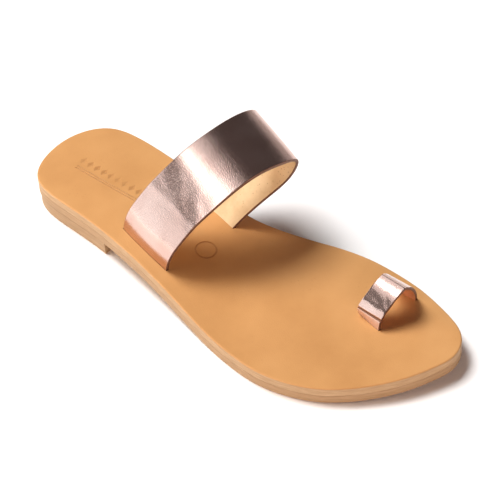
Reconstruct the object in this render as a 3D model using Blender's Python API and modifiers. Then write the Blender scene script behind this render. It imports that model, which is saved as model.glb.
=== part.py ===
"""Flat leather sandal for the right foot: footbed, outsole, heel lift, instep strap and toe loop.

Sizes are millimetres in a foot frame: along runs from the back of the heel to the toe, inner runs
towards the big toe side from the middle of the heel, up runs from the ground. The finished part is
in metres with the toe towards -Y, the inner side towards +X and +Z up.
"""
import math

import bmesh
import bpy
import numpy as np

MM = 0.001
MERGE = 0.000001            # metres

LENGTH = 250.0
GAP = 0.3                   # clearance between neighbouring pieces
FOOTBED_THICK = 4.5
OUTSOLE_THICK = 4.9
FOREFOOT_TOP = FOOTBED_THICK + GAP + OUTSOLE_THICK
HEEL_RISE = 7.5             # how far the heel seat stands above the forefoot
WAIST_BACK = 82.0           # the heel seat is level behind this
WAIST_FRONT = 155.0         # the forefoot is level ahead of this
SPRING_START = 196.0
TOE_SPRING = 2.6
HEEL_BREAST = 62.5          # straight front face of the heel lift
LIFT_INSET = 0.5
RIM_ROUND = 0.8             # rounding of the footbed and sole rims
RIM_STEPS = 2
STATIONS = 80               # sections along the sole
SHARP_ANGLE = 35.0          # degrees; steeper edges are not shaded smooth

STRAP_WALL = 1.8
LOOP_WALL = 1.5
SLIT_RUN = 2.0              # how many faces of a strap a slit runs on past its end
STRAP_STEPS = 48            # faces along a strap
STRAP_COLUMNS = 6           # faces across a strap

# Plan of the sole: distance along, outer edge, inner edge.
OUTLINE = (
    (0.0, 0.0, 0.0),
    (5.0, -19.8, 18.6),
    (15.0, -27.6, 27.8),
    (30.0, -30.6, 30.2),
    (60.0, -34.0, 27.5),
    (90.0, -40.2, 22.8),
    (112.0, -45.2, 19.6),
    (130.0, -49.7, 22.6),
    (150.0, -54.6, 28.4),
    (165.0, -57.3, 32.0),
    (180.0, -58.2, 33.8),
    (195.0, -55.7, 33.4),
    (210.0, -49.8, 31.4),
    (222.0, -41.3, 28.0),
    (232.0, -31.3, 24.2),
    (240.0, -20.8, 20.2),
    (246.0, -9.8, 14.8),
    (250.0, 3.0, 3.0),
)

# Instep strap from the tail in the outer slit to the tail in the inner slit. Each row is one line
# across the strap: rear edge along, inner, up, then front edge along, inner, up.
STRAP_ROWS = (
    (69.8, -26.6, 13.8, 105.2, -35.4, 12.0),
    (70.6, -27.2, 17.2, 106.0, -36.0, 15.4),
    (74.9, -26.4, 31.2, 110.6, -35.2, 28.8),
    (81.8, -15.2, 44.8, 117.0, -25.0, 41.2),
    (90.2, -1.8, 58.6, 124.8, -10.8, 53.2),
    (96.8, 17.4, 65.6, 131.4, 6.6, 60.2),
    (100.0, 37.0, 64.2, 134.6, 24.2, 57.6),
    (99.4, 47.0, 56.6, 134.2, 35.6, 50.4),
    (95.2, 45.0, 44.6, 130.6, 35.6, 39.2),
    (86.4, 28.6, 29.6, 122.4, 23.4, 26.8),
    (78.0, 13.8, 17.2, 113.8, 9.8, 14.3),
    (76.2, 10.4, 13.8, 112.0, 6.6, 10.9),
)

# Toe loop from the tail between the toes to the tail by the inner edge, same columns.
LOOP_ROWS = (
    (195.6, 0.8, 6.3, 210.2, -3.2, 6.5),
    (196.0, 0.6, 9.7, 210.5, -3.4, 9.9),
    (196.7, -1.2, 15.6, 211.1, -2.7, 15.9),
    (197.2, 0.2, 17.9, 211.6, -1.3, 18.2),
    (197.7, 1.8, 19.8, 212.1, 0.3, 20.1),
    (198.3, 3.6, 21.6, 212.7, 2.1, 21.9),
    (199.0, 6.1, 24.0, 213.4, 4.6, 24.3),
    (199.6, 8.3, 25.9, 214.0, 6.8, 26.2),
    (200.2, 10.3, 27.3, 214.6, 8.8, 27.6),
    (200.7, 12.2, 28.3, 215.1, 10.7, 28.6),
    (201.1, 13.9, 28.7, 215.5, 12.5, 29.0),
    (201.2, 14.9, 28.0, 215.6, 13.6, 28.3),
    (201.1, 17.0, 26.0, 215.5, 15.9, 26.4),
    (200.7, 19.8, 22.6, 215.1, 18.9, 23.0),
    (200.1, 22.3, 18.4, 214.5, 21.6, 18.7),
    (199.4, 24.2, 13.6, 213.8, 23.7, 13.8),
    (198.8, 25.2, 9.4, 213.2, 24.9, 9.5),
    (198.4, 25.7, 6.3, 212.8, 25.4, 6.4),
)

# name: base colour, roughness, metallic
FINISH = {
    "footbed": ((0.68, 0.33, 0.11, 1.0), 0.55, 0.0),
    "outsole": ((0.60, 0.36, 0.16, 1.0), 0.65, 0.0),
    "heel_lift": ((0.55, 0.32, 0.14, 1.0), 0.65, 0.0),
    "instep_strap": ((0.62, 0.38, 0.34, 1.0), 0.32, 0.85),
    "toe_loop": ((0.62, 0.38, 0.34, 1.0), 0.30, 0.85),
}


def clear_scene():
    for thing in list(bpy.data.objects):
        bpy.data.objects.remove(thing, do_unlink=True)


def new_collection(name):
    collection = bpy.data.collections.new(name)
    bpy.context.scene.collection.children.link(collection)
    return collection


def spline(knots, values):
    """Natural cubic through the rows of values at the given knots."""
    knots = np.asarray(knots, float)
    values = np.asarray(values, float)
    count = len(knots)
    step = np.diff(knots)
    system = np.eye(count)
    right = np.zeros_like(values)
    for i in range(1, count - 1):
        system[i, i - 1:i + 2] = (step[i - 1], 2.0 * (step[i - 1] + step[i]), step[i])
        rise = (values[i + 1] - values[i]) / step[i]
        fall = (values[i] - values[i - 1]) / step[i - 1]
        right[i] = 6.0 * (rise - fall)
    bend = np.linalg.solve(system, right)

    def at(where):
        i = int(np.clip(np.searchsorted(knots, where) - 1, 0, count - 2))
        before = where - knots[i]
        after = knots[i + 1] - where
        curve = (bend[i] * after ** 3 + bend[i + 1] * before ** 3) / (6.0 * step[i])
        left = (values[i] / step[i] - bend[i] * step[i] / 6.0) * after
        return curve + left + (values[i + 1] / step[i] - bend[i + 1] * step[i] / 6.0) * before

    return at


def sweep_angle(along):
    return math.acos(1.0 - 2.0 * along / LENGTH)


def smooth_step(value, start, end):
    share = min(max((value - start) / (end - start), 0.0), 1.0)
    return share * share * (3.0 - 2.0 * share)


def sole_top(along):
    """Height of the footbed's upper face."""
    height = FOREFOOT_TOP + HEEL_RISE * (1.0 - smooth_step(along, WAIST_BACK, WAIST_FRONT))
    lift = max(along - SPRING_START, 0.0) / (LENGTH - SPRING_START)
    return height + TOE_SPRING * lift * lift


def plan_sections(end_along):
    """Outer and inner edge points of the sole from the heel to end_along."""
    edges = spline([sweep_angle(row[0]) for row in OUTLINE], [row[1:] for row in OUTLINE])
    last = sweep_angle(end_along)
    outer = []
    inner = []
    for i in range(STATIONS + 1):
        angle = last * i / STATIONS
        along = 0.5 * LENGTH * (1.0 - math.cos(angle))
        outer_edge, inner_edge = edges(angle)
        outer.append((along, outer_edge))
        inner.append((along, inner_edge))
    return np.array(outer), np.array(inner)


def inset_edge(points, side, inset):
    """Move one edge of the plan inwards; side is -1 for the outer edge and 1 for the inner."""
    run = np.gradient(points, axis=0)
    run /= np.linalg.norm(run, axis=1)[:, None]
    inward = np.column_stack((run[:, 1], -run[:, 0])) * side
    inward[0] = (1.0, 0.0)
    if points[-1, 0] == LENGTH:
        inward[-1] = (-1.0, 0.0)
    return points + inward * inset


def strap_sections(rows):
    """Edge pairs along a strap, from the tail in one slit to the tail in the other."""
    table = np.array(rows)
    middle = 0.5 * (table[:, :3] + table[:, 3:])
    run = np.concatenate(([0.0], np.cumsum(np.linalg.norm(np.diff(middle, axis=0), axis=1))))
    line = spline(run, table)
    return np.array([line(run[-1] * i / STRAP_STEPS) for i in range(STRAP_STEPS + 1)])


def middle_across():
    """Middle of the whole sandal's width, between the outer edge and the strap's bulge."""
    outer, inner = plan_sections(LENGTH)
    strap = strap_sections(STRAP_ROWS)
    return 0.5 * (outer[:, 1].min() + max(inner[:, 1].max(), strap[:, 1].max(), strap[:, 4].max()))


def add_mesh(name, collection, corners, faces):
    """Link a mesh given in the foot frame, turned into the part's frame."""
    centre = middle_across()
    mesh = bpy.data.meshes.new(name)
    spots = [(MM * (inner - centre), MM * (0.5 * LENGTH - along), MM * up) for along, inner, up in corners]
    mesh.from_pydata(spots, [], faces)
    thing = bpy.data.objects.new(name, mesh)
    collection.objects.link(thing)
    return thing


def close_mesh(thing):
    """Merge the corners that meet at the tips and point the faces outwards."""
    work = bmesh.new()
    work.from_mesh(thing.data)
    bmesh.ops.remove_doubles(work, verts=work.verts, dist=MERGE)
    bmesh.ops.recalc_face_normals(work, faces=work.faces)
    work.to_mesh(thing.data)
    work.free()


def rim_profile(thickness):
    """Pairs of inset and drop down the side of a layer, rounded at both rims."""
    quarter = [0.5 * math.pi * i / RIM_STEPS for i in range(RIM_STEPS + 1)]
    upper = [(RIM_ROUND * (1.0 - math.sin(a)), RIM_ROUND * (1.0 - math.cos(a))) for a in quarter]
    lower = [(inset, thickness - drop) for inset, drop in reversed(upper)]
    return upper + lower


def sole_layer(name, collection, face_height, thickness, inset=0.0, end_along=LENGTH):
    """A closed layer of the sole: rings of the plan down its side, strips across both faces."""
    outer, inner = plan_sections(end_along)
    rings = []
    corners = []
    for rim_inset, drop in rim_profile(thickness):
        ring = []
        for edge, side in ((outer, -1.0), (inner, 1.0)):
            row = []
            for along, across in inset_edge(edge, side, inset + rim_inset):
                along = min(max(along, inset + rim_inset), end_along - rim_inset)
                row.append(len(corners))
                corners.append((along, across, face_height(along) - drop))
            ring.append(row)
        rings.append(ring)
    faces = []
    for i in range(STATIONS):
        for upper, lower in zip(rings, rings[1:]):
            faces.append((upper[0][i], upper[0][i + 1], lower[0][i + 1], lower[0][i]))
            faces.append((upper[1][i + 1], upper[1][i], lower[1][i], lower[1][i + 1]))
        for ring in (rings[0], rings[-1]):
            faces.append((ring[0][i], ring[1][i], ring[1][i + 1], ring[0][i + 1]))
    if end_along < LENGTH:
        for upper, lower in zip(rings, rings[1:]):
            faces.append((upper[0][-1], upper[1][-1], lower[1][-1], lower[0][-1]))
    thing = add_mesh(name, collection, corners, faces)
    close_mesh(thing)
    return thing


def strap_sheet(name, collection, rows, spare):
    """The outer face of a strap as a grid. With spare, it is wider by that much at both edges and
    its ends run on down through the footbed."""
    sections = strap_sections(rows)
    if spare > 0.0:
        before = sections[0] + SLIT_RUN * (sections[0] - sections[1])
        after = sections[-1] + SLIT_RUN * (sections[-1] - sections[-2])
        sections = np.vstack((before, sections, after))
    corners = []
    for section in sections:
        rear = section[:3]
        front = section[3:]
        reach = (front - rear) * spare / np.linalg.norm(front - rear)
        for j in range(STRAP_COLUMNS + 1):
            share = j / STRAP_COLUMNS
            corners.append((rear - reach) * (1.0 - share) + (front + reach) * share)
    across = STRAP_COLUMNS + 1
    faces = []
    for i in range(len(sections) - 1):
        for j in range(STRAP_COLUMNS):
            corner = i * across + j
            faces.append((corner, corner + 1, corner + across + 1, corner + across))
    return add_mesh(name, collection, corners, faces)


def thicken(thing, wall, spare):
    """Give a strap's sheet its wall, inwards from the outer face, with spare on both sides."""
    wall_step = thing.modifiers.new("wall", "SOLIDIFY")
    wall_step.thickness = MM * (wall + 2.0 * spare)
    wall_step.offset = 2.0 * spare / (wall + 2.0 * spare) - 1.0
    wall_step.use_even_offset = True


def cut(thing, cutter):
    slit = thing.modifiers.new("slit", "BOOLEAN")
    slit.operation = "DIFFERENCE"
    slit.solver = "EXACT"
    slit.object = cutter


def apply_modifiers(thing):
    graph = bpy.context.evaluated_depsgraph_get()
    mesh = bpy.data.meshes.new_from_object(thing.evaluated_get(graph))
    thing.modifiers.clear()
    thing.data = mesh


def finish(thing):
    colour, roughness, metallic = FINISH[thing.name]
    material = bpy.data.materials.new(thing.name)
    material.use_nodes = True
    shader = material.node_tree.nodes["Principled BSDF"]
    shader.inputs["Base Color"].default_value = colour
    shader.inputs["Roughness"].default_value = roughness
    shader.inputs["Metallic"].default_value = metallic
    thing.data.materials.clear()
    thing.data.materials.append(material)
    thing.data.shade_smooth()
    thing.data.set_sharp_from_angle(angle=math.radians(SHARP_ANGLE))


def build():
    clear_scene()
    parts = new_collection("flat_sandal")
    cutters = new_collection("cutters")
    cutters.hide_render = True

    footbed = sole_layer("footbed", parts, sole_top, FOOTBED_THICK)
    outsole = sole_layer("outsole", parts, lambda a: sole_top(a) - FOOTBED_THICK - GAP, OUTSOLE_THICK)
    lift = sole_layer("heel_lift", parts, lambda a: HEEL_RISE - GAP, HEEL_RISE - GAP,
                      LIFT_INSET, HEEL_BREAST)

    straps = []
    for name, rows, wall in (("instep_strap", STRAP_ROWS, STRAP_WALL), ("toe_loop", LOOP_ROWS, LOOP_WALL)):
        strap = strap_sheet(name, parts, rows, 0.0)
        thicken(strap, wall, 0.0)
        cutter = strap_sheet(name + "_slits", cutters, rows, GAP)
        thicken(cutter, wall, GAP)
        cutter.display_type = "WIRE"
        cutter.hide_render = True
        cut(footbed, cutter)
        straps.append(strap)

    things = [footbed, outsole, lift] + straps
    for thing in things:
        apply_modifiers(thing)
        finish(thing)


build()
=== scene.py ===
import math
import bpy
import numpy as np
from mathutils import Euler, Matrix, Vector, noise


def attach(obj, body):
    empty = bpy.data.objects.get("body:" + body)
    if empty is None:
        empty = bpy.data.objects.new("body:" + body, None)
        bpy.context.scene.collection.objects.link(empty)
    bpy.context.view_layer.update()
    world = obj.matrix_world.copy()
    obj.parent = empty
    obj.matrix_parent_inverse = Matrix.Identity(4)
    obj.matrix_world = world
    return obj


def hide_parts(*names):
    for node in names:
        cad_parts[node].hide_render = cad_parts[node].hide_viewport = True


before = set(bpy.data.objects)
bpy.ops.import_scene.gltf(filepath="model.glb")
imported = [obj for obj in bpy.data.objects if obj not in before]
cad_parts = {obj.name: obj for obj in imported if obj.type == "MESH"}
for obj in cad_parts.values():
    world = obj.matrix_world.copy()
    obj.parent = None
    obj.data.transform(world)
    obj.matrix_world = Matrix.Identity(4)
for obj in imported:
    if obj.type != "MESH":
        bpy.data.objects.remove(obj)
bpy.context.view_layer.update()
print("frame loaded:", sorted(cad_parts))

mm = 0.001
tiny = 0.000001  # merging distance in metres, and the least divisor

# the sole in millimetres: along from the heel, across towards the big toe, up from the ground
soleSizes = {
    "length": 250.0,
    "acrossMiddle": -5.349,
    "footbedThick": 4.5,
    "outsoleThick": 4.9,
    "gap": 0.3,
    "heelRise": 7.5,
    "waist": (82.0, 155.0),
    "springStart": 196.0,
    "toeSpring": 2.6,
    # along, outer edge, inner edge
    "plan": (
        (0.0, 0.0, 0.0), (5.0, -19.8, 18.6), (15.0, -27.6, 27.8), (30.0, -30.6, 30.2),
        (60.0, -34.0, 27.5), (90.0, -40.2, 22.8), (112.0, -45.2, 19.6), (130.0, -49.7, 22.6),
        (150.0, -54.6, 28.4), (165.0, -57.3, 32.0), (180.0, -58.2, 33.8), (195.0, -55.7, 33.4),
        (210.0, -49.8, 31.4), (222.0, -41.3, 28.0), (232.0, -31.3, 24.2), (240.0, -20.8, 20.2),
        (246.0, -9.8, 14.8), (250.0, 3.0, 3.0),
    ),
}


def toFrame(spots):
    # foot millimetres to the part's metres
    along, across, up = np.asarray(spots, float).T
    middle = soleSizes["acrossMiddle"]
    return np.column_stack((across - middle, 0.5 * soleSizes["length"] - along, up)) * mm


def curveThrough(knots, values):
    # natural cubic through rows of values
    knots, values = np.asarray(knots, float), np.asarray(values, float)
    step, count = np.diff(knots), len(knots)
    system, right = np.eye(count), np.zeros_like(values)
    for i in range(1, count - 1):
        system[i, i - 1:i + 2] = (step[i - 1], 2 * (step[i - 1] + step[i]), step[i])
        right[i] = 6 * ((values[i + 1] - values[i]) / step[i] - (values[i] - values[i - 1]) / step[i - 1])
    bend = np.linalg.solve(system, right)

    def at(where):
        where = np.atleast_1d(np.asarray(where, float))
        i = np.clip(np.searchsorted(knots, where) - 1, 0, count - 2)
        before, after, gap = (where - knots[i])[:, None], (knots[i + 1] - where)[:, None], step[i][:, None]
        curved = (bend[i] * after ** 3 + bend[i + 1] * before ** 3) / (6 * gap)
        return (curved + (values[i] / gap - bend[i] * gap / 6) * after
                + (values[i + 1] / gap - bend[i + 1] * gap / 6) * before)

    return at


def smoothStep(value, start, end):
    share = np.clip((value - start) / (end - start), 0.0, 1.0)
    return share * share * (3.0 - 2.0 * share)


def soleTop(along):
    flat = soleSizes["footbedThick"] + soleSizes["gap"] + soleSizes["outsoleThick"]
    start = soleSizes["springStart"]
    spring = np.maximum(along - start, 0.0) / (soleSizes["length"] - start)
    return (flat + soleSizes["heelRise"] * (1.0 - smoothStep(along, *soleSizes["waist"]))
            + soleSizes["toeSpring"] * spring ** 2)


planEdges = curveThrough(
    [math.acos(1.0 - 2.0 * row[0] / soleSizes["length"]) for row in soleSizes["plan"]],
    [row[1:] for row in soleSizes["plan"]])


def deselectAll():
    if bpy.context.object and bpy.context.object.mode != "OBJECT":
        bpy.ops.object.mode_set(mode="OBJECT")
    bpy.ops.object.select_all(action="DESELECT")


def activate(piece):
    deselectAll()
    piece.select_set(True)
    bpy.context.view_layer.objects.active = piece


def newGrid(name, alongFaces, acrossFaces):
    deselectAll()
    bpy.ops.mesh.primitive_grid_add(x_subdivisions=alongFaces, y_subdivisions=acrossFaces, size=2.0)
    piece = bpy.context.object
    piece.name = piece.data.name = name
    return piece


def readSpots(piece):
    spots = np.empty(len(piece.data.vertices) * 3)
    piece.data.vertices.foreach_get("co", spots)
    return spots.reshape(-1, 3)


def writeSpots(piece, spots):
    piece.data.vertices.foreach_set("co", np.asarray(spots, float).ravel())
    piece.data.update()


def useModifier(piece, kind, **settings):
    activate(piece)
    modifier = piece.modifiers.new(kind.lower(), kind)
    for key, value in settings.items():
        setattr(modifier, key, value)
    bpy.ops.object.modifier_apply(modifier=modifier.name)


def faceOutwards(piece):
    activate(piece)
    bpy.ops.object.mode_set(mode="EDIT")
    bpy.ops.mesh.select_all(action="SELECT")
    bpy.ops.mesh.remove_doubles(threshold=tiny)
    bpy.ops.mesh.normals_make_consistent(inside=False)
    bpy.ops.object.mode_set(mode="OBJECT")


def smoothShade(piece, degrees):
    activate(piece)
    bpy.ops.object.shade_smooth_by_angle(angle=math.radians(degrees))


def joinPieces(pieces):
    deselectAll()
    for piece in pieces:
        piece.select_set(True)
    bpy.context.view_layer.objects.active = pieces[0]
    bpy.ops.object.join()
    return pieces[0]


def cutAway(piece, cutter):
    useModifier(piece, "BOOLEAN", operation="DIFFERENCE", solver="EXACT", object=cutter)
    bpy.data.objects.remove(cutter, do_unlink=True)


# materials

def addNode(tree, kind, inputs=None, **settings):
    node = tree.nodes.new(kind)
    for key, value in settings.items():
        setattr(node, key, value)
    for key, value in (inputs or {}).items():
        if isinstance(value, bpy.types.NodeSocket):
            tree.links.new(value, node.inputs[key])
        else:
            node.inputs[key].default_value = value
    return node


def newGroup(name, inputs, outputs):
    group = bpy.data.node_groups.new(name, "ShaderNodeTree")
    for socketName, kind in inputs:
        group.interface.new_socket(name=socketName, in_out="INPUT", socket_type=kind)
    for socketName, kind in outputs:
        group.interface.new_socket(name=socketName, in_out="OUTPUT", socket_type=kind)
    return group, group.nodes.new("NodeGroupInput").outputs, group.nodes.new("NodeGroupOutput").inputs


def rampNode(tree, value, stops):
    ramp = addNode(tree, "ShaderNodeValToRGB", {"Fac": value})
    while len(ramp.color_ramp.elements) < len(stops):
        ramp.color_ramp.elements.new(0.5)
    for element, (place, colour) in zip(ramp.color_ramp.elements, stops):
        element.position = place
        element.color = (*colour, 1.0)
    return ramp.outputs["Color"]


def mathNode(tree, operation, first, second):
    node = addNode(tree, "ShaderNodeMath", {0: first, 1: second}, operation=operation)
    return node.outputs[0]


def rangeNode(tree, value, low, high, toLow, toHigh, ease="LINEAR"):
    node = addNode(tree, "ShaderNodeMapRange", {"Value": value, "From Min": low, "From Max": high,
                                                "To Min": toLow, "To Max": toHigh}, interpolation_type=ease)
    return node.outputs[0]


def noiseNode(tree, vector, scale, detail, rough=0.5):
    return addNode(tree, "ShaderNodeTexNoise", {"Vector": vector, "Scale": scale,
                                                "Detail": detail, "Roughness": rough})


floatSocket, vectorSocket = "NodeSocketFloat", "NodeSocketVector"

grainPattern = {
    "cloudDetail": 5.0, "cloudRough": 0.55, "cellLine": 0.25, "fineScale": 2600.0, "fineDetail": 2.0,
    "rareScale": 90.0, "rareDetail": 1.0, "poreDot": (0.08, 0.2), "poreFull": 0.7,
}
fibrePattern = {
    "squeeze": (1.0, 1.0, 14.0), "streakDetail": 4.0, "streakRough": 0.6,
    "fuzzScale": 1800.0, "fuzzDetail": 2.0, "fuzzShare": 0.6,
}
cracklePattern = {
    "warpScale": 500.0, "warpDetail": 2.0, "warpReach": 0.0009, "domeReach": 0.4, "crackReach": 0.09,
    "swellScale": 320.0, "swellDetail": 4.0, "swellShare": 0.6, "tarnishScale": 60.0, "tarnishDetail": 4.0,
}


def leatherGrainGroup(pattern):
    # cloudy tone, fine hair cells and scattered pores of smooth leather
    group, given, gives = newGroup(
        "leatherGrain",
        [("Vector", vectorSocket), ("Cloud Scale", floatSocket), ("Cell Scale", floatSocket),
         ("Pore Scale", floatSocket), ("Pore Start", floatSocket)],
        [("Cloud", floatSocket), ("Height", floatSocket), ("Pores", floatSocket)])
    place = given["Vector"]
    cloud = noiseNode(group, place, given["Cloud Scale"], pattern["cloudDetail"], pattern["cloudRough"])
    group.links.new(cloud.outputs["Fac"], gives["Cloud"])
    cells = addNode(group, "ShaderNodeTexVoronoi", {"Vector": place, "Scale": given["Cell Scale"]},
                    feature="DISTANCE_TO_EDGE")
    fine = noiseNode(group, place, pattern["fineScale"], pattern["fineDetail"])
    lines = rangeNode(group, cells.outputs["Distance"], 0.0, pattern["cellLine"], 0.0, 1.0)
    group.links.new(mathNode(group, "ADD", lines, fine.outputs["Fac"]), gives["Height"])
    pore = addNode(group, "ShaderNodeTexVoronoi", {"Vector": place, "Scale": given["Pore Scale"]})
    rare = noiseNode(group, place, pattern["rareScale"], pattern["rareDetail"])
    dots = rangeNode(group, pore.outputs["Distance"], *pattern["poreDot"], 1.0, 0.0)
    some = rangeNode(group, rare.outputs["Fac"], given["Pore Start"], pattern["poreFull"], 0.0, 1.0)
    group.links.new(mathNode(group, "MULTIPLY", dots, some), gives["Pores"])
    return group


def cutFibreGroup(pattern):
    # thin streaks that run round a cut leather edge
    group, given, gives = newGroup(
        "cutFibre", [("Vector", vectorSocket), ("Streak Scale", floatSocket)],
        [("Streak", floatSocket), ("Height", floatSocket)])
    squeeze = addNode(group, "ShaderNodeVectorMath", {0: given["Vector"], 1: pattern["squeeze"]},
                      operation="MULTIPLY")
    streak = noiseNode(group, squeeze.outputs[0], given["Streak Scale"],
                       pattern["streakDetail"], pattern["streakRough"])
    fuzz = noiseNode(group, given["Vector"], pattern["fuzzScale"], pattern["fuzzDetail"])
    group.links.new(streak.outputs["Fac"], gives["Streak"])
    raised = mathNode(group, "MULTIPLY", fuzz.outputs["Fac"], pattern["fuzzShare"])
    group.links.new(mathNode(group, "ADD", streak.outputs["Fac"], raised), gives["Height"])
    return group


def foilCrackleGroup(pattern):
    # pebbles with fine cracks between them, as pressed foil has over leather
    group, given, gives = newGroup(
        "foilCrackle", [("Vector", vectorSocket), ("Pebble Scale", floatSocket)],
        [("Height", floatSocket), ("Cracks", floatSocket), ("Tarnish", floatSocket)])
    place = given["Vector"]
    warp = noiseNode(group, place, pattern["warpScale"], pattern["warpDetail"])
    shift = addNode(group, "ShaderNodeVectorMath", {0: warp.outputs["Color"], "Scale": pattern["warpReach"]},
                    operation="SCALE")
    bent = addNode(group, "ShaderNodeVectorMath", {0: place, 1: shift.outputs[0]}, operation="ADD")
    pebble = addNode(group, "ShaderNodeTexVoronoi",
                     {"Vector": bent.outputs[0], "Scale": given["Pebble Scale"]}, feature="DISTANCE_TO_EDGE")
    edge = pebble.outputs["Distance"]
    dome = rangeNode(group, edge, 0.0, pattern["domeReach"], 0.0, 1.0, "SMOOTHSTEP")
    swell = noiseNode(group, place, pattern["swellScale"], pattern["swellDetail"])
    swollen = mathNode(group, "MULTIPLY", swell.outputs["Fac"], pattern["swellShare"])
    group.links.new(mathNode(group, "ADD", dome, swollen), gives["Height"])
    group.links.new(rangeNode(group, edge, 0.0, pattern["crackReach"], 1.0, 0.0), gives["Cracks"])
    tarnish = noiseNode(group, place, pattern["tarnishScale"], pattern["tarnishDetail"])
    group.links.new(tarnish.outputs["Fac"], gives["Tarnish"])
    return group


leatherGrain = leatherGrainGroup(grainPattern)
cutFibre = cutFibreGroup(fibrePattern)
foilCrackle = foilCrackleGroup(cracklePattern)

# where in a noise the tones lie, and where the roughness starts and ends
grainStops, fibreStops, tarnishStops = (0.3, 0.5, 0.72), (0.32, 0.5, 0.68), (0.35, 0.65)
roughSpan = (0.3, 0.7)


def newMaterial(name):
    material = bpy.data.materials.new(name)
    material.use_nodes = True
    tree = material.node_tree
    place = addNode(tree, "ShaderNodeTexCoord").outputs["Object"]
    return material, tree, tree.nodes["Principled BSDF"], place


def toneFrom(tree, value, stops, tones):
    return rampNode(tree, value, list(zip(stops, tones)))


def roughInto(tree, shader, value, look):
    rough = rangeNode(tree, value, *roughSpan, *look["rough"])
    tree.links.new(rough, shader.inputs["Roughness"])


def bumpInto(tree, shader, height, look):
    bump = addNode(tree, "ShaderNodeBump", {"Height": height, "Distance": look["bump"],
                                            "Strength": look["bumpStrength"]})
    tree.links.new(bump.outputs["Normal"], shader.inputs["Normal"])


def mixColours(tree, share, first, second):
    mix = addNode(tree, "ShaderNodeMix", data_type="RGBA")
    # these sockets share their names with other kinds of mix, so they go by number
    tree.links.new(share, mix.inputs[0])
    tree.links.new(first, mix.inputs[6])
    mix.inputs[7].default_value = (*second, 1.0)
    return mix.outputs[2]


def grainLeather(name, look):
    material, tree, shader, place = newMaterial(name)
    grain = addNode(tree, "ShaderNodeGroup", {
        "Vector": place, "Cloud Scale": look["cloudScale"], "Cell Scale": look["cellScale"],
        "Pore Scale": look["poreScale"], "Pore Start": look["poreStart"]}, node_tree=leatherGrain)
    tone = toneFrom(tree, grain.outputs["Cloud"], grainStops, (look["deep"], look["middle"], look["pale"]))
    spots = mathNode(tree, "MULTIPLY", grain.outputs["Pores"], look["poreShare"])
    tree.links.new(mixColours(tree, spots, tone, look["pore"]), shader.inputs["Base Color"])
    roughInto(tree, shader, grain.outputs["Cloud"], look)
    bumpInto(tree, shader, grain.outputs["Height"], look)
    return material


def edgeLeather(name, look):
    material, tree, shader, place = newMaterial(name)
    fibre = addNode(tree, "ShaderNodeGroup", {"Vector": place, "Streak Scale": look["streakScale"]},
                    node_tree=cutFibre)
    tone = toneFrom(tree, fibre.outputs["Streak"], fibreStops, (look["deep"], look["middle"], look["pale"]))
    tree.links.new(tone, shader.inputs["Base Color"])
    roughInto(tree, shader, fibre.outputs["Streak"], look)
    bumpInto(tree, shader, fibre.outputs["Height"], look)
    return material


def foilLeather(name, look):
    material, tree, shader, place = newMaterial(name)
    crackle = addNode(tree, "ShaderNodeGroup", {"Vector": place, "Pebble Scale": look["pebbleScale"]},
                      node_tree=foilCrackle)
    tone = toneFrom(tree, crackle.outputs["Tarnish"], tarnishStops, (look["deep"], look["pale"]))
    worn = mathNode(tree, "MULTIPLY", crackle.outputs["Cracks"], look["crackShare"])
    tree.links.new(mixColours(tree, worn, tone, look["crack"]), shader.inputs["Base Color"])
    roughInto(tree, shader, crackle.outputs["Tarnish"], look)
    shader.inputs["Metallic"].default_value = look["metal"]
    bumpInto(tree, shader, crackle.outputs["Height"], look)
    return material


footbedTan = {
    "deep": (0.502, 0.253, 0.092), "middle": (0.553, 0.287, 0.108), "pale": (0.594, 0.318, 0.126),
    "pore": (0.36, 0.15, 0.05), "poreShare": 0.25, "poreScale": 420.0, "poreStart": 0.5,
    "cloudScale": 26.0, "cellScale": 1100.0,
    "rough": (0.42, 0.52), "bump": 0.00006, "bumpStrength": 0.35,
}
pressedTan = {
    "deep": (0.43, 0.212, 0.077), "middle": (0.47, 0.238, 0.088), "pale": (0.51, 0.265, 0.10),
    "pore": (0.28, 0.12, 0.04), "poreShare": 0.2, "poreScale": 420.0, "poreStart": 0.5,
    "cloudScale": 60.0, "cellScale": 1100.0,
    "rough": (0.40, 0.48), "bump": 0.00005, "bumpStrength": 0.3,
}
cutEdgeTan = {
    "deep": (0.44, 0.275, 0.135), "middle": (0.51, 0.335, 0.175), "pale": (0.59, 0.41, 0.235),
    "streakScale": 110.0, "rough": (0.55, 0.7), "bump": 0.00015, "bumpStrength": 0.5,
}
outsoleTan = {
    "deep": (0.39, 0.24, 0.115), "middle": (0.45, 0.285, 0.145), "pale": (0.51, 0.335, 0.185),
    "streakScale": 100.0, "rough": (0.55, 0.7), "bump": 0.00015, "bumpStrength": 0.5,
}
heelTan = {
    "deep": (0.37, 0.235, 0.118), "middle": (0.43, 0.28, 0.148), "pale": (0.49, 0.33, 0.185),
    "streakScale": 90.0, "rough": (0.58, 0.72), "bump": 0.00015, "bumpStrength": 0.5,
}
strapFoil = {
    "deep": (0.67, 0.46, 0.40), "pale": (0.75, 0.545, 0.485), "crack": (0.40, 0.24, 0.20), "crackShare": 0.3,
    "metal": 0.97, "pebbleScale": 900.0, "rough": (0.18, 0.23), "bump": 0.000026, "bumpStrength": 0.8,
}
loopFoil = {
    "deep": (0.67, 0.46, 0.40), "pale": (0.75, 0.545, 0.485), "crack": (0.36, 0.20, 0.16), "crackShare": 0.25,
    "metal": 0.97, "pebbleScale": 1100.0, "rough": (0.09, 0.12), "bump": 0.00001, "bumpStrength": 0.8,
}
wornFoil = {
    "deep": (0.78, 0.57, 0.50), "pale": (0.85, 0.65, 0.58), "crack": (0.42, 0.24, 0.18), "crackShare": 0.3,
    "metal": 0.45, "pebbleScale": 1100.0, "rough": (0.36, 0.44), "bump": 0.00003, "bumpStrength": 0.8,
}
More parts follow.
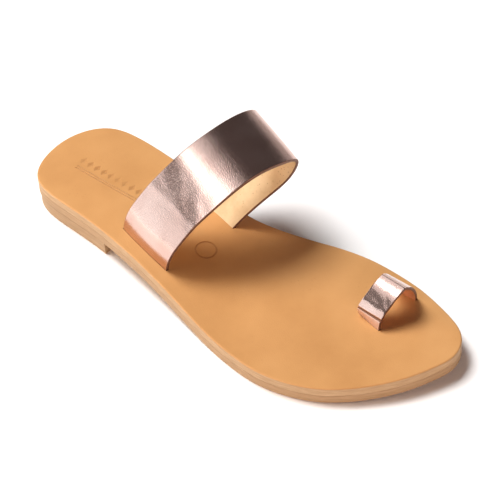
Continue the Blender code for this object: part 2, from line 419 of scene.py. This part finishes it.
liningSuede = {
    "deep": (0.62, 0.45, 0.255), "middle": (0.73, 0.565, 0.345), "pale": (0.80, 0.65, 0.42),
    "pore": (0.22, 0.12, 0.06), "poreShare": 0.8, "poreScale": 520.0, "poreStart": 0.12,
    "cloudScale": 70.0, "cellScale": 800.0,
    "rough": (0.75, 0.85), "bump": 0.00012, "bumpStrength": 0.6,
}
# a darker, redder copy of the strap lining: painted shade inside the toe loop, tinted red like bounced light
shadedLoopLining = {
    "deep": (0.47, 0.20, 0.09), "middle": (0.55, 0.245, 0.115), "pale": (0.62, 0.29, 0.145),
    "pore": (0.20, 0.09, 0.05), "poreShare": 0.5, "poreScale": 520.0, "poreStart": 0.2,
    "cloudScale": 70.0, "cellScale": 800.0,
    "rough": (0.7, 0.8), "bump": 0.0001, "bumpStrength": 0.5,
}
# dark cut edge leather, also laid on the faces along a strap's crease as a painted shadow line
strapEdgeAndCreaseShade = {
    "deep": (0.11, 0.050, 0.030), "middle": (0.17, 0.082, 0.050), "pale": (0.24, 0.125, 0.08),
    "streakScale": 120.0, "rough": (0.45, 0.6), "bump": 0.0001, "bumpStrength": 0.4,
}

tanGrain = grainLeather("footbedTan", footbedTan)
tanPressed = grainLeather("footbedPressed", pressedTan)
tanEdge = edgeLeather("footbedCutEdge", cutEdgeTan)
soleEdge = edgeLeather("outsoleCutEdge", outsoleTan)
heelEdge = edgeLeather("heelCutEdge", heelTan)
bandFoil = foilLeather("strapFoil", strapFoil)
ringFoil = foilLeather("loopFoil", loopFoil)
mattFoil = foilLeather("wornFoil", wornFoil)
suede = grainLeather("strapLining", liningSuede)
shadedRingLining = grainLeather("shadedLoopLining", shadedLoopLining)
darkEdgeAndCreaseShade = edgeLeather("strapCutEdgeAndCreaseShade", strapEdgeAndCreaseShade)


# leather layers of the sole

def edgeSpot(sweep, side, inset):
    # a point of the plan's outline, moved inwards; sweep runs 0 to pi from heel to toe
    half, nudge = 0.5 * soleSizes["length"], 0.0005
    pick = (side > 0).astype(int)
    rows = np.arange(len(sweep))

    def raw(angle):
        return np.column_stack((half * (1.0 - np.cos(angle)), planEdges(angle)[rows, pick]))

    run = raw(sweep + nudge) - raw(sweep - nudge)
    run /= np.linalg.norm(run, axis=1)[:, None]
    inward = np.column_stack((run[:, 1], -run[:, 0])) * side[:, None]
    return raw(sweep) + inward * inset[:, None]


def rimProfile(layer):
    # inset and drop from the upper face, down the rounded wall, to the lower face
    steps = layer["rimSteps"]
    turn = [0.5 * math.pi * i / steps for i in range(steps + 1)]
    top, low = layer["topRound"], layer["lowRound"]
    upper = [(top * (1 - math.sin(a)), top * (1 - math.cos(a))) for a in turn]
    lower = [(low * (1 - math.cos(a)), layer["thick"] - low * (1 - math.sin(a))) for a in turn]
    return np.array(upper + lower)


def makeLayer(name, layer, faceHeight):
    # a grid pulled to the plan, with a wall extruded down and cut into rings
    piece = newGrid(name, layer["acrossFaces"], layer["alongFaces"])
    profile = rimProfile(layer)
    rings = len(profile) - 1
    bpy.ops.object.mode_set(mode="EDIT")
    bpy.ops.mesh.select_all(action="SELECT")
    bpy.ops.mesh.extrude_region_move(TRANSFORM_OT_translate={"value": (0.0, 0.0, -1.0)})
    bpy.ops.mesh.select_mode(type="EDGE")
    bpy.ops.mesh.select_all(action="DESELECT")
    bpy.ops.object.mode_set(mode="OBJECT")
    heights = readSpots(piece)[:, 2]
    for edge in piece.data.edges:  # those that run down the wall are cut into rings
        start, end = edge.vertices
        edge.select = abs(heights[start] - heights[end]) > 0.5
    bpy.ops.object.mode_set(mode="EDIT")
    bpy.ops.mesh.subdivide(number_cuts=rings - 1)
    bpy.ops.object.mode_set(mode="OBJECT")

    a, b, down = readSpots(piece).T
    wall = np.maximum(np.abs(a), np.abs(b)) > 1.0 - 10.0 * tiny  # the grid runs from -1 to 1
    ring = np.clip(np.rint(-down * rings), 0, rings).astype(int)
    p = a * np.sqrt(1.0 - 0.5 * b * b)  # the square grid becomes a disc, heel at q = -1
    q = b * np.sqrt(1.0 - 0.5 * a * a)
    pull = np.where(wall, 1.0, layer["innerShare"])
    p, q = p * pull, np.clip(q * pull, -1.0, 1.0)
    sweep = np.arccos(-q)
    edges = planEdges(sweep)
    share = np.clip(p / np.maximum(np.sin(sweep), tiny), -1.0, 1.0)
    plan = np.column_stack((0.5 * soleSizes["length"] * (1.0 + q),
                            edges.mean(1) + 0.5 * share * (edges[:, 1] - edges[:, 0])))
    side = np.where(p < 0.0, -1.0, 1.0)
    rim = edgeSpot(sweep, side, layer["inset"] + profile[ring, 0])
    plan = np.where(wall[:, None], rim, plan)
    drop = np.where(wall, profile[ring, 1], np.where(ring > 0, layer["thick"], 0.0))
    writeSpots(piece, toFrame(np.column_stack((plan, faceHeight(plan[:, 0]) - drop))))
    faceOutwards(piece)
    return piece


footbedLayer = {
    "acrossFaces": 110, "alongFaces": 230, "innerShare": 0.972,
    "thick": 4.72, "inset": 0.0, "topRound": 0.9, "lowRound": 0.12, "rimSteps": 6,
}
outsoleLayer = {
    "acrossFaces": 60, "alongFaces": 190, "innerShare": 0.972,
    "thick": 4.9, "inset": 0.0, "topRound": 0.12, "lowRound": 0.8, "rimSteps": 6,
}
heelLayer = {
    "acrossFaces": 60, "alongFaces": 190, "innerShare": 0.96,
    "thick": 7.2, "inset": 0.5, "topRound": 0.4, "lowRound": 0.6, "rimSteps": 6,
    "breast": 62.5,
}

footbed = makeLayer("footbedLeather", footbedLayer, soleTop)
outsole = makeLayer("outsoleLeather", outsoleLayer,
                    lambda along: soleTop(along) - soleSizes["footbedThick"] - soleSizes["gap"])
heelLift = makeLayer("heelLiftLeather", heelLayer,
                     lambda along: np.full_like(along, soleSizes["heelRise"] - soleSizes["gap"]))

# the heel lift keeps only what lies behind its straight breast
activate(heelLift)
bpy.ops.object.mode_set(mode="EDIT")
bpy.ops.mesh.select_all(action="SELECT")
bpy.ops.mesh.bisect(plane_co=(0.0, (0.5 * soleSizes["length"] - heelLayer["breast"]) * mm, 0.0),
                    plane_no=(0.0, 1.0, 0.0), use_fill=True, clear_inner=True)
bpy.ops.object.mode_set(mode="OBJECT")
print("sole layers made")


# straps, in millimetres and degrees

strapMaking = {
    "edgeSteps": 2, "edgeAngle": 50.0, "shadeAngle": 40.0,
    "plainTail": (2.0, 8.0),  # the relief grows over this stretch, so a tail stays true in its slit
    "bladeRun": (6.0, 9.0), "bladeFaces": (15, 8),  # a slit's blade goes this far past the tail and up
    "camberHold": 0.4, "kinkSoft": 0.4, "kinkPower": 1.3,
    "swayAcross": 2.0, "swaySeed": 3.7, "wrinkleLean": 2.0, "wrinkleAcross": 3.0, "wrinkleSeed": 9.1,
    "tangentStep": 0.05, "runStep": 0.1, "acrossStep": 0.01,
}
strapSlots = {"lining": 1, "edge": 2, "matt": 3}  # the outer face has the first, 0

# edge pairs along a strap, tail to tail: rear along, across, up, then front along, across, up
instepStrap = {
    "alongFaces": 240, "acrossFaces": 48, "wall": 1.8, "edgeRound": 0.3,
    "slitEnds": 0.35, "slitWall": 0.06,
    "rows": (
        (69.8, -26.6, 13.8, 105.2, -35.4, 12.0), (70.6, -27.2, 17.2, 106.0, -36.0, 15.4),
        (74.9, -26.4, 31.2, 110.6, -35.2, 28.8), (81.8, -15.2, 44.8, 117.0, -25.0, 41.2),
        (90.2, -1.8, 58.6, 124.8, -10.8, 53.2), (96.8, 17.4, 65.6, 131.4, 6.6, 60.2),
        (100.0, 37.0, 64.2, 134.6, 24.2, 57.6), (99.4, 47.0, 56.6, 134.2, 35.6, 50.4),
        (95.2, 45.0, 44.6, 130.6, 35.6, 39.2), (86.4, 28.6, 29.6, 122.4, 23.4, 26.8),
        (78.0, 13.8, 17.2, 113.8, 9.8, 14.3), (76.2, 10.4, 13.8, 112.0, 6.6, 10.9),
    ),
    "camber": (0.7, 0.25, 36.0),  # outward swell at the foot of the outer leg, over the rest, and its reach
    "kinks": ((37.0, 2.0, 0.12, 4.0),),  # ridges: where along the strap, sideways drift, height, reach
    "valleys": (),  # creases, in the same order
    # where along the strap, and how far the leather stands off its plain curve there
    "lift": ((0.0, 0.0), (20.0, 0.0), (28.0, 0.45), (37.0, 1.2), (46.0, 0.9), (56.0, 0.6), (80.0, 0.2),
             (100.0, 0.0), (170.0, 0.0)),
    "worn": (),  # stretches of matt foil, from and to
    "wrinkles": {"from": 30.0, "to": 60.0, "height": 0.14, "size": 6.0},
    "sway": {"height": 0.12, "size": 22.0},
}
toeLoop = {
    "alongFaces": 200, "acrossFaces": 32, "wall": 1.5, "edgeRound": 0.3,
    "slitEnds": 0.35, "slitWall": 0.06,
    "rows": (
        (195.6, 0.8, 6.3, 210.2, -3.2, 6.5), (196.0, 0.6, 9.7, 210.5, -3.4, 9.9),
        (196.7, -1.2, 15.6, 211.1, -2.7, 15.9), (197.2, 0.2, 17.9, 211.6, -1.3, 18.2),
        (197.7, 1.8, 19.8, 212.1, 0.3, 20.1), (198.3, 3.6, 21.6, 212.7, 2.1, 21.9),
        (199.0, 6.1, 24.0, 213.4, 4.6, 24.3), (199.6, 8.3, 25.9, 214.0, 6.8, 26.2),
        (200.2, 10.3, 27.3, 214.6, 8.8, 27.6), (200.7, 12.2, 28.3, 215.1, 10.7, 28.6),
        (201.1, 13.9, 28.7, 215.5, 12.5, 29.0), (201.2, 14.9, 28.0, 215.6, 13.6, 28.3),
        (201.1, 17.0, 26.0, 215.5, 15.9, 26.4), (200.7, 19.8, 22.6, 215.1, 18.9, 23.0),
        (200.1, 22.3, 18.4, 214.5, 21.6, 18.7), (199.4, 24.2, 13.6, 213.8, 23.7, 13.8),
        (198.8, 25.2, 9.4, 213.2, 24.9, 9.5), (198.4, 25.7, 6.3, 212.8, 25.4, 6.4),
    ),
    "camber": (0.1, 0.0, 9.0),
    "kinks": (),
    "valleys": ((9.5, 0.2, 0.35, 0.7),),
    "lift": ((0.0, 0.0), (60.0, 0.0)),
    "worn": ((-1.0, 8.9), (29.5, 31.3)),
    "wrinkles": {"from": 8.0, "to": 26.0, "height": 0.03, "size": 3.0},
    "sway": {"height": 0.04, "size": 9.0},
}


def strapCurve(strap):
    rows = np.array(strap["rows"])
    middle = 0.5 * (rows[:, :3] + rows[:, 3:])
    run = np.concatenate(([0.0], np.cumsum(np.linalg.norm(np.diff(middle, axis=0), axis=1))))
    return curveThrough(run, rows), run[-1]


def strapSpots(strap, run, across, spare):
    # points at a run in millimetres and a share across; past the tails it goes straight on
    curve, length = strapCurve(strap)
    step, inside = strapMaking["tangentStep"], np.clip(run, 0.0, length)
    rows = curve(inside)
    tangent = curve(np.minimum(inside + step, length)) - curve(np.maximum(inside - step, 0.0))
    rows = rows + tangent / np.linalg.norm(tangent[:, :3], axis=1)[:, None] * (run - inside)[:, None]
    rear, front = rows[:, :3], rows[:, 3:]
    sideways = (front - rear) / np.linalg.norm(front - rear, axis=1)[:, None]
    share = across[:, None]
    spots = (rear - sideways * spare) * (1.0 - share) + (front + sideways * spare) * share
    outward = np.cross(sideways, tangent[:, :3] + tangent[:, 3:])
    outward /= np.linalg.norm(outward, axis=1)[:, None]
    foot, crown, fade = strap["camber"]
    swell = crown + (foot - crown) * (1.0 - smoothStep(run, strapMaking["camberHold"] * fade, fade))
    return spots + outward * (swell * (1.0 - (2.0 * across - 1.0) ** 2))[:, None]


def strapNormals(strap, run, across):
    step, aside = strapMaking["runStep"], strapMaking["acrossStep"]
    toward = strapSpots(strap, run + step, across, 0.0) - strapSpots(strap, run - step, across, 0.0)
    sideways = strapSpots(strap, run, across + aside, 0.0) - strapSpots(strap, run, across - aside, 0.0)
    normal = np.cross(sideways, toward)
    return normal / np.linalg.norm(normal, axis=1)[:, None]


def noiseOver(alongs, asides, seed):
    return np.array([noise.noise(Vector((along, aside, seed))) for along, aside in zip(alongs, asides)])


def strapRelief(strap, run, across):
    # how far the worn leather stands off the plain curve
    knots, heights = zip(*strap["lift"])
    relief = curveThrough(knots, np.array(heights)[:, None])(run)[:, 0]
    for where, drift, height, reach in strap["kinks"]:
        off = np.abs(run - where - drift * (across - 0.5))
        soft = np.sqrt(off ** 2 + strapMaking["kinkSoft"])
        relief += height * np.clip(1.0 - soft / reach, 0.0, 1.0) ** strapMaking["kinkPower"]
    for where, drift, depth, reach in strap["valleys"]:
        off = run - where - drift * (across - 0.5)
        relief -= depth * np.exp(-(off / reach) ** 2)
    folds, sway = strap["wrinkles"], strap["sway"]
    middle, half = 0.5 * (folds["from"] + folds["to"]), 0.5 * (folds["to"] - folds["from"])
    near = np.clip(1.0 - np.abs(run - middle) / half, 0.0, 1.0)
    wide = noiseOver(run / sway["size"], strapMaking["swayAcross"] * across, strapMaking["swaySeed"])
    fine = noiseOver(run / folds["size"] + strapMaking["wrinkleLean"] * across,
                     strapMaking["wrinkleAcross"] * across, strapMaking["wrinkleSeed"])
    return relief + wide * sway["height"] + fine * near * folds["height"]


def makeStrap(name, strap, face, lining):
    piece = newGrid(name, strap["alongFaces"], strap["acrossFaces"])
    for material in (face, lining, darkEdgeAndCreaseShade, mattFoil):
        piece.data.materials.append(material)
    length, plain = strapCurve(strap)[1], strapMaking["plainTail"]
    faceSpots = np.array([polygon.center for polygon in piece.data.polygons])
    faceRun, faceAcross = 0.5 * (faceSpots[:, 0] + 1.0) * length, 0.5 * (1.0 - faceSpots[:, 1])
    x, y = readSpots(piece)[:, :2].T
    run, across = 0.5 * (x + 1.0) * length, 0.5 * (1.0 - y)
    lift = strapRelief(strap, run, across) * (smoothStep(run, *plain) * smoothStep(length - run, *plain))
    spots = strapSpots(strap, run, across, 0.0) + strapNormals(strap, run, across) * lift[:, None]
    writeSpots(piece, toFrame(spots))
    useModifier(piece, "SOLIDIFY", thickness=strap["wall"] * mm, offset=-1.0, use_even_offset=True,
                material_offset=strapSlots["lining"], material_offset_rim=strapSlots["edge"])
    for where, drift, _, reach in strap["valleys"]:  # painted shade: faces along a crease get the dark edge leather as a shadow line
        inside = np.abs(faceRun - where - drift * (faceAcross - 0.5)) < reach
        for creaseShadeFace in np.flatnonzero(inside):
            piece.data.polygons[int(creaseShadeFace)].material_index = strapSlots["edge"]
    for start, end in strap["worn"]:
        for worn in np.flatnonzero((faceRun > start) & (faceRun < end)):
            piece.data.polygons[int(worn)].material_index = strapSlots["matt"]
    useModifier(piece, "BEVEL", width=strap["edgeRound"] * mm, segments=strapMaking["edgeSteps"],
                limit_method="ANGLE", angle_limit=math.radians(strapMaking["edgeAngle"]),
                material=strapSlots["edge"])
    smoothShade(piece, strapMaking["shadeAngle"])
    return piece


def slitCutters(strap, name):
    # one thick blade for each tail, run on past it through the footbed
    length, blades = strapCurve(strap)[1], []
    past, up = strapMaking["bladeRun"]
    for start, end in ((-past, up), (length - up, length + past)):
        blade = newGrid(name, *strapMaking["bladeFaces"])
        x, y = readSpots(blade)[:, :2].T
        run, across = start + 0.5 * (x + 1.0) * (end - start), 0.5 * (1.0 - y)
        writeSpots(blade, toFrame(strapSpots(strap, run, across, strap["slitEnds"])))
        thick = strap["wall"] + 2.0 * strap["slitWall"]
        useModifier(blade, "SOLIDIFY", thickness=thick * mm, use_even_offset=True,
                    offset=2.0 * strap["slitWall"] / thick - 1.0)
        blades.append(blade)
    return blades


strapPiece = makeStrap("instepStrapFoil", instepStrap, bandFoil, suede)
loopPiece = makeStrap("toeLoopFoil", toeLoop, ringFoil, shadedRingLining)
print("straps made")


# tooling pressed into the footbed: a plain ring, a row of lozenges and two rules
tooling = {
    "ring": {"along": 112.0, "across": -12.5, "radius": 5.2, "groove": 0.5,
             "segments": 72, "grooveSides": 12},
    "lozenges": {"from": (20.0, -0.6), "to": (64.0, -2.2), "count": 10,
                 "long": 3.7, "wide": 5.2, "deep": 0.5},
    "rules": {"lines": (((20.0, -5.4), (68.0, -7.1)), ((20.0, -6.9), (68.0, -8.6))),
              "wide": 0.36, "sides": 12},
    # faces this far under the footbed, and this near the ring and the row, are darker
    "pressed": {"depth": 0.03, "aroundRing": 2.0, "pastRow": 4.0, "besideRow": 10.0},
}


def onFootbed(along, across):
    return Vector(toFrame([(along, across, float(soleTop(np.array(along))))])[0])


def slopeAt(along):
    rise = float(soleTop(np.array(along + 0.5)) - soleTop(np.array(along - 0.5)))  # over a millimetre
    return -math.atan(rise)  # the toe lies towards -Y


def toolRing(ring):
    deselectAll()
    bpy.ops.mesh.primitive_torus_add(major_radius=ring["radius"] * mm, minor_radius=ring["groove"] * mm,
                                     major_segments=ring["segments"], minor_segments=ring["grooveSides"],
                                     location=onFootbed(ring["along"], ring["across"]),
                                     rotation=(slopeAt(ring["along"]), 0.0, 0.0))
    return [bpy.context.object]


def toolLozenges(row):
    first, last = Vector(row["from"]), Vector(row["to"])
    turn = math.atan2(-(last - first).x, (last - first).y)
    deselectAll()
    bpy.ops.mesh.primitive_cone_add(vertices=4, radius1=mm, radius2=0.0, depth=mm)
    punch = bpy.context.object
    bpy.ops.object.mode_set(mode="EDIT")
    bpy.ops.mesh.select_all(action="SELECT")
    bpy.ops.transform.resize(value=(row["wide"], row["long"], -2.0 * row["deep"]))  # point down
    bpy.ops.mesh.normals_make_consistent(inside=False)
    bpy.ops.object.mode_set(mode="OBJECT")
    punches = []
    for i in range(row["count"]):
        spot = first.lerp(last, i / (row["count"] - 1))
        copy = punch.copy()
        copy.data = punch.data.copy()
        bpy.context.collection.objects.link(copy)
        copy.location = onFootbed(spot.x, spot.y)
        copy.rotation_euler = (slopeAt(spot.x), 0.0, turn + math.radians(90.0))
        punches.append(copy)
    bpy.data.objects.remove(punch, do_unlink=True)
    return punches


def toolRules(pair):
    rules = []
    for start, end in pair["lines"]:
        a, b = onFootbed(*start), onFootbed(*end)
        deselectAll()
        bpy.ops.mesh.primitive_cylinder_add(vertices=pair["sides"], radius=pair["wide"] * mm,
                                            depth=(b - a).length, location=(a + b) / 2)
        rule = bpy.context.object
        rule.rotation_mode = "QUATERNION"
        rule.rotation_quaternion = (b - a).to_track_quat("Z", "Y")
        rules.append(rule)
    return rules


cutters = slitCutters(instepStrap, "instepSlit") + slitCutters(toeLoop, "toeSlit")
cutters += toolRing(tooling["ring"]) + toolLozenges(tooling["lozenges"]) + toolRules(tooling["rules"])
bpy.context.view_layer.update()
cutAway(footbed, joinPieces(cutters))
print("slits and tooling cut")

# degrees between smooth faces, and how far up a face looks that belongs to the top
layerFinish = {"shadeAngle": 24.0, "upFacing": 0.55}
layerSlots = {"upper": 0, "wall": 1, "pressed": 2}

for layer in (footbed, outsole, heelLift):
    smoothShade(layer, layerFinish["shadeAngle"])


def dressLayer(piece, upper, wall):
    piece.data.materials.clear()
    piece.data.materials.append(upper)
    piece.data.materials.append(wall)
    for face in piece.data.polygons:
        upward = face.normal.z > layerFinish["upFacing"]
        face.material_index = layerSlots["upper" if upward else "wall"]


def nearTooling(along, across):
    ring, row, pressed = tooling["ring"], tooling["lozenges"], tooling["pressed"]
    if math.hypot(along - ring["along"], across - ring["across"]) < ring["radius"] + pressed["aroundRing"]:
        return True
    beside = abs(across - row["from"][1]) < pressed["besideRow"]
    return beside and row["from"][0] - pressed["pastRow"] < along < row["to"][0] + pressed["pastRow"]


def standFor(piece, node):
    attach(piece, "root")
    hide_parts(node)


dressLayer(footbed, tanGrain, tanEdge)
footbed.data.materials.append(tanPressed)
for face in footbed.data.polygons:
    along = 0.5 * soleSizes["length"] - face.center.y / mm
    across = face.center.x / mm + soleSizes["acrossMiddle"]
    if not nearTooling(along, across):
        continue
    if float(soleTop(np.array(along))) - face.center.z / mm > tooling["pressed"]["depth"]:
        face.material_index = layerSlots["pressed"]
dressLayer(outsole, soleEdge, soleEdge)
dressLayer(heelLift, heelEdge, heelEdge)
standFor(footbed, "footbed")
standFor(outsole, "outsole")
standFor(heelLift, "heel_lift")
standFor(strapPiece, "instep_strap")
standFor(loopPiece, "toe_loop")
print("materials given")


# studio: pale floor, a key light from behind the heel, a softbox and two cards to mirror, two warm fills
studio = {
    "floorSize": 12.0, "floorTone": (0.95, 0.95, 0.95), "floorRough": 0.7, "floorDrop": 0.00002,
    "worldTone": (0.052, 0.045, 0.045), "backTone": 0.95,
}
# turn about the sandal from straight behind and height angle in degrees, then metres and watts;
# a lamp lights the matt surfaces, or the foil mirrors it
lamps = {
    "keyLight": {"turn": -56.0, "height": 61.5, "distance": 3.00, "wide": 1.40, "tall": 1.25,
                 "power": 115.0, "tint": (1.0, 1.0, 1.0), "lights": True, "mirrored": False},
    "softboxFace": {"turn": -97.0, "height": 54.0, "distance": 1.00, "wide": 0.62, "tall": 0.25,
                    "power": 1.05, "tint": (1.0, 1.0, 1.0), "lights": False, "mirrored": True},
    "softboxGlow": {"turn": -80.0, "height": 55.5, "distance": 1.10, "wide": 1.10, "tall": 0.56,
                    "power": 1.74, "tint": (1.0, 1.0, 1.0), "lights": False, "mirrored": True},
    "softboxSpill": {"turn": -85.0, "height": 50.0, "distance": 1.25, "wide": 1.30, "tall": 0.80,
                     "power": 0.52, "tint": (1.0, 1.0, 1.0), "lights": False, "mirrored": True},
    "lowCard": {"turn": -95.0, "height": 13.5, "distance": 1.00, "wide": 1.50, "tall": 0.56,
                "power": 3.6, "tint": (0.95, 1.0, 1.02), "lights": False, "mirrored": True},
    "backCard": {"turn": 22.0, "height": 9.0, "distance": 1.00, "wide": 1.50, "tall": 0.40,
                 "power": 0.8, "tint": (1.0, 0.95, 0.92), "lights": False, "mirrored": True},
    "leftFill": {"turn": -96.0, "height": 27.0, "distance": 1.20, "wide": 0.80, "tall": 0.35,
                 "power": 7.2, "tint": (1.0, 0.80, 0.66), "lights": True, "mirrored": False},
    "frontFill": {"turn": 165.0, "height": 17.0, "distance": 1.40, "wide": 1.20, "tall": 0.60,
                  "power": 10.0, "tint": (1.0, 0.71, 0.60), "lights": True, "mirrored": False},
}
viewing = {
    "place": (-0.51702, -0.46158, 0.69047),
    "turn": (47.0, 0.0, -54.266),
    "aimShift": (-0.0679, -0.0240),  # where the sandal's middle lies off the photographed axis
    "lens": 141.0, "sensor": 36.0, "clip": (0.05, 50.0),
    "right": (0.584, -0.812, 0.0), "back": (0.812, 0.584, 0.0),  # level directions, as the camera sees them
}


def studioSpot(turn, height, distance):
    turn, height = math.radians(turn), math.radians(height)
    flat = Vector(viewing["right"]) * math.sin(turn) + Vector(viewing["back"]) * math.cos(turn)
    return (flat * math.cos(height) + Vector((0.0, 0.0, math.sin(height)))) * distance


def softLight(name, lamp):
    data = bpy.data.lights.new(name, "AREA")
    data.shape, data.size, data.size_y = "RECTANGLE", lamp["wide"], lamp["tall"]
    data.energy, data.color = lamp["power"], lamp["tint"]
    light = bpy.data.objects.new(name, data)
    bpy.context.scene.collection.objects.link(light)
    light.location = studioSpot(lamp["turn"], lamp["height"], lamp["distance"])
    light.rotation_euler = (-light.location).to_track_quat("-Z", "Y").to_euler()
    light.visible_camera = False
    light.visible_diffuse, light.visible_glossy = lamp["lights"], lamp["mirrored"]


for lampName, lamp in lamps.items():
    softLight(lampName, lamp)

deselectAll()
bpy.ops.mesh.primitive_plane_add(size=studio["floorSize"], location=(0.0, 0.0, -studio["floorDrop"]))
floor = bpy.context.object
floor.name = "studioFloor"
floorPaint, _, floorShader, _ = newMaterial("paleFloor")
floorShader.inputs["Base Color"].default_value = (*studio["floorTone"], 1.0)
floorShader.inputs["Roughness"].default_value = studio["floorRough"]
floor.data.materials.append(floorPaint)

world = bpy.data.worlds.new("studioWorld")
bpy.context.scene.world = world
world.use_nodes = True
sky = world.node_tree
sky.nodes.clear()
dim = addNode(sky, "ShaderNodeBackground", {"Color": (*studio["worldTone"], 1.0)})
back = addNode(sky, "ShaderNodeBackground", {"Color": (1.0, 1.0, 1.0, 1.0), "Strength": studio["backTone"]})
seen = addNode(sky, "ShaderNodeLightPath")
both = addNode(sky, "ShaderNodeMixShader",
               {0: seen.outputs["Is Camera Ray"], 1: dim.outputs[0], 2: back.outputs[0]})
addNode(sky, "ShaderNodeOutputWorld", {"Surface": both.outputs[0]})

lensData = bpy.data.cameras.new("studioCamera")
lensData.sensor_width, lensData.lens = viewing["sensor"], viewing["lens"]
lensData.clip_start, lensData.clip_end = viewing["clip"]
camera = bpy.data.objects.new("studioCamera", lensData)
bpy.context.scene.collection.objects.link(camera)
camera.location = viewing["place"]
turned = Euler([math.radians(v) for v in viewing["turn"]]).to_quaternion()
aim = turned @ Vector((viewing["aimShift"][0], viewing["aimShift"][1], -1.0)).normalized()
axis = turned @ Vector((0.0, 0.0, -1.0))
camera.rotation_euler = (axis.rotation_difference(aim) @ turned).to_euler()
bpy.context.scene.camera = camera
bpy.context.scene.view_settings.view_transform = "Standard"
print("studio set")
